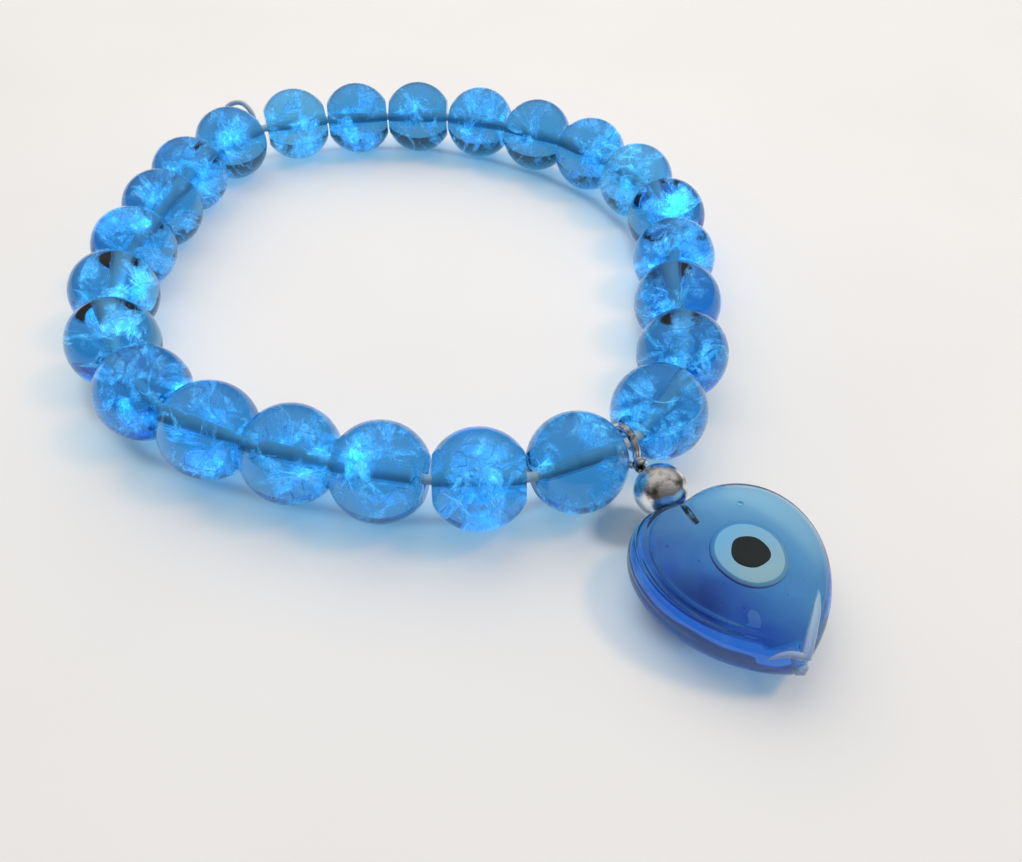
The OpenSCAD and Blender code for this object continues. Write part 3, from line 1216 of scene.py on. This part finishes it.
    def build_ball(self) -> bpy.types.Object:
        """Turns the silver ball, with the hole for the stem.

        Returns:
            The piece.
        """
        radius, bore = self.ball / 2, self.wire / 2 + 0.05
        lean = math.degrees(math.asin(bore / radius))
        outside = arc((0, 0), radius, lean + 2, 178 - lean, 60)
        half = radius * math.cos(math.radians(lean))
        wall = [(x, bore) for x in np.linspace(-half + 0.03, half - 0.03, 8)]
        points, faces = lathe(outside + wall, 96)
        skin = np.linalg.norm(points, axis=1) > radius * 0.99
        points[skin] *= 1 + (ripple(points[skin], 7, 1.6)[:, None] - 1) * 0.004
        return self.piece("silver_ball_plated", points + (self.ball_reach, 0, 0), faces,
                          Slot.SILVER, "spacer_ball", "silver_ball")

    def build_wire(self) -> bpy.types.Object:
        """Winds the ring, its neck and its stem from one length of wire.

        Returns:
            The piece.
        """
        ring_r, half = self.ring / 2, self.wire * 0.46
        neck = self.ring_reach + ring_r
        stem = [(self.cleft + self.stem_depth, 0, 0), (self.cleft, 0, 0), (4.7, 0, 0),
                (neck + 0.9, 0, 0), (neck + 0.35, -0.1, 0.06)]
        turns = np.radians(np.linspace(14, 706, 34))
        ring = [(self.ring_reach + ring_r * math.cos(t), -half + 2 * half * i / 33,
                 ring_r * math.sin(t)) for i, t in enumerate(turns)]
        wraps = [(neck + 0.1 + 0.62 * i / 15, 0.39 * math.cos(a), 0.39 * math.sin(a))
                 for i, a in enumerate(np.radians(np.linspace(20, 640, 16)))]
        path = smooth_path(stem + ring + wraps, 620)
        points, faces = sweep(path, np.full(len(path), self.wire / 2 * 0.98), 14)
        return self.piece("wire_loop_wound", points, faces, Slot.WIRE, "charm", "wire_loop")

    def build(self) -> list[bpy.types.Object]:
        """Builds the whole charm.

        Returns:
            Its pieces.
        """
        return [
            self.build_wire(), self.build_ball(), self.build_heart(),
            self.build_dot("eye_white_dot", self.eye_d, 0.05, 0.28, 0.03, Slot.WHITE,
                           "eye_white", 3),
            self.build_dot("eye_pupil_dot", self.pupil_d, 0.11, 0.3, 0.08, Slot.DARK,
                           "eye_pupil", 5),
            self.build_tip(),
        ]


@dataclass
class Studio:
    """White table, soft sky, two soft lamps and the camera."""

    lens: float = 31.0
    eye: Vec = (8.99, -67.48, 53.45)
    yaw: float = 0.50
    pitch: float = 45.33
    roll: float = 1.26
    table_size: float = 1600.0
    # The sky's strength at the horizon and overhead, and its shares in front and behind
    sky_strength: tuple[float, float] = (0.12, 0.45)
    sky_shares: tuple[float, float] = (0.35, 1.2)

    def build_camera(self) -> None:
        """Places the camera, looking down at the table."""
        camera = bpy.data.objects.new("camera", bpy.data.cameras.new("camera"))
        bpy.context.scene.collection.objects.link(camera)
        yaw, pitch, roll = (math.radians(a) for a in (self.yaw, self.pitch, self.roll))
        ahead = Vector((math.sin(yaw) * math.cos(pitch), math.cos(yaw) * math.cos(pitch),
                        -math.sin(pitch)))
        level = Vector((math.cos(yaw), -math.sin(yaw), 0))
        upright = level.cross(ahead)
        right = level * math.cos(roll) + upright * math.sin(roll)
        up = upright * math.cos(roll) - level * math.sin(roll)
        camera.matrix_world = Matrix.Translation(Vector(self.eye) * MM) @ Matrix(
            (right, up, -ahead)).transposed().to_4x4()
        camera.data.lens = self.lens
        camera.data.clip_start = 0.002
        camera.data.clip_end = 10.0
        bpy.context.scene.camera = camera

    def build_table(self) -> bpy.types.Object:
        """Lays the table under the bracelet.

        Returns:
            The table's top.
        """
        half = self.table_size / 2 * MM
        mesh = bpy.data.meshes.new("table_top")
        mesh.from_pydata([(-half, -half, 0), (half, -half, 0), (half, half, 0), (-half, half, 0)],
                         [], [(0, 1, 2, 3)])
        mesh.materials.append(Table().material())
        table = bpy.data.objects.new("table_top", mesh)
        bpy.context.scene.collection.objects.link(table)
        return table

    def build_sky(self) -> None:
        """Surrounds the scene with pale light, brighter above and behind."""
        world = bpy.data.worlds.new("soft room")
        bpy.context.scene.world = world
        world.use_nodes = True
        tree = world.node_tree
        tree.nodes.clear()
        way = add_node(tree, "ShaderNodeTexCoord").outputs["Generated"]
        split = add_node(tree, "ShaderNodeSeparateXYZ", None, {"Vector": way})
        high = add_node(tree, "ShaderNodeMapRange", {
            "interpolation_type": "SMOOTHSTEP", "From Min": 0.0, "From Max": 0.85,
            "To Min": self.sky_strength[0], "To Max": self.sky_strength[1]},
            {"Value": split.outputs["Z"]})
        behind = add_node(tree, "ShaderNodeMapRange", {
            "interpolation_type": "SMOOTHSTEP", "From Min": -0.9, "From Max": 0.6,
            "To Min": self.sky_shares[0], "To Max": self.sky_shares[1]},
            {"Value": split.outputs["Y"]})
        strength = add_node(tree, "ShaderNodeMath", {"operation": "MULTIPLY"}, {
            0: high.outputs["Result"], 1: behind.outputs["Result"]})
        back = add_node(tree, "ShaderNodeBackground", {"Color": linear("#FBFAFA")},
                        {"Strength": strength.outputs[0]})
        add_node(tree, "ShaderNodeOutputWorld", None, {"Surface": back.outputs[0]})

    def build_lamp(self, name: str, place: Vec, size: float, power: float, colour: str) -> None:
        """Hangs one soft lamp that points at the bracelet.

        Args:
            name: its name.
            place: where it hangs, in millimetres.
            size: its width in millimetres.
            power: its power in watts.
            colour: its colour.
        """
        data = bpy.data.lights.new(name, "AREA")
        data.shape = "DISK"
        data.size = size * MM
        data.energy = power
        data.color = linear(colour)[:3]
        lamp = bpy.data.objects.new(name, data)
        bpy.context.scene.collection.objects.link(lamp)
        lamp.location = Vector(place) * MM
        lamp.rotation_euler = (-Vector(place)).to_track_quat("-Z", "Y").to_euler()
        # Neither the metal nor the glass shows the lamp itself, which keeps the light soft
        lamp.visible_glossy = False
        lamp.visible_transmission = False

    def build(self) -> None:
        """Builds the whole studio."""
        self.build_camera()
        self.build_table()
        self.build_sky()
        self.build_lamp("window lamp", (-70, 210, 250), 520, 0.88, "#FFFCF6")
        self.build_lamp("side lamp", (350, 60, 470), 130, 1.35, "#FFFDFA")
        scene = bpy.context.scene
        scene.view_settings.view_transform = "Standard"
        scene.cycles.transparent_max_bounces = 24


# ------------------------------------------------------------------------------- making


def main() -> None:
    """Builds the bracelet and its studio, and reports each piece."""
    logging.basicConfig(level=logging.INFO, format="%(name)s: %(message)s", force=True)
    Studio().build()
    down_the_eye = (0.6, -0.8, 0.0)
    finishes = {
        # Milky thread: a soft band inside the beads
        Slot.ELASTIC: Elastic().material(),
        # Blue drawn glass: clear colour that deepens where the heart is thick; its tint turns pale cyan
        # towards the back right edge, a painted reflection
        Slot.HEART: Glass("lampworked blue glass", tint="#3A70E0", painted_sheen_tint="#BCEEFF",
                          fade=Fade((24.2, -33.4, 3.0), (0.6, 0.8, 0.0), 9.5),
                          depth_tint="#38C4F6", depth_per_mm=0.09, pool="#D6EAF8",
                          ripple_height=0.03).material(),
        # Colourless glass pulled to threads: pale and bright at the heart's point
        Slot.CLEAR: Glass("pulled clear glass", tint="#F2FCFF", pool="#EAF6FC",
                          milk=0.28).material(),
        # White laid thin on blue: pale sky blue, greyer towards the tip
        Slot.WHITE: OpaqueGlass("white glass dot", "#6CB0DC", "#8DB6C8",
                                Fade(EYE_PLACE, down_the_eye, 5.0)).material(),
        # Nearly black with a thin gloss
        Slot.DARK: OpaqueGlass("black glass dot", "#0C1517", "#151D1C",
                               Fade(EYE_PLACE, down_the_eye, 4.0), coat=0.0).material(),
        # Mirror-bright ball that picks up the table and the beads
        Slot.SILVER: PlatedMetal("polished silver plate", "#FFFCF8", "#7C766F", 0.09,
                                 0.48, 0.68, scratch_height=0.02).material(),
        # Ring gone dark in its hollows and bright where it rubs
        Slot.WIRE: PlatedMetal("darkened silver wire", "#F2F0EC", "#57514A", 0.14,
                               0.46, 0.58, scratch_height=0.008).material(),
    }
    film = FractureFilm().material()
    # Painted shade: dark blue on the eye's sunk wall and underside, lighter towards the tip
    underside_shade = OpaqueGlass("painted shade under the eye", "#16386E", "#1F4F92",
                          Fade(EYE_PLACE, down_the_eye, 4.0)).material()
    # Pressed aqua-blue glass: thin rims pass more light than the middles
    glass = Glass("pressed aqua-blue glass", tint="#68AED8", depth_tint="#30DCFD",
                  depth_per_mm=0.12, pool="#F4F9FB", ripple_height=0.02)
    pale = replace(glass, name="pressed pale aqua-blue glass", tint="#7CC0E2",
                   depth_per_mm=0.10)
    plain, light = glass.material(), pale.material()
    # The drill leaves the hole's wall ground, so the elastic shows as a soft band
    ground = Glass("ground glass bore", tint="#F2FAFF", pool="#F4FBFF", roughness=0.7,
                   ior=1.06).material()
    for k in range(1, 25):
        bead = Bead(k, light if k in PALE_BEADS else plain, ground, film)
        for piece in (bead.build_glass(), bead.build_cracks()):
            LOG.info("%s, %d faces", piece.name, len(piece.data.polygons))
    strand = Strand(finishes[Slot.ELASTIC])
    for piece in strand.build() + [strand.build_knot()] + Charm(finishes, underside_shade).build():
        LOG.info("%s, %d faces", piece.name, len(piece.data.polygons))


if __name__ == "__main__":
    main()
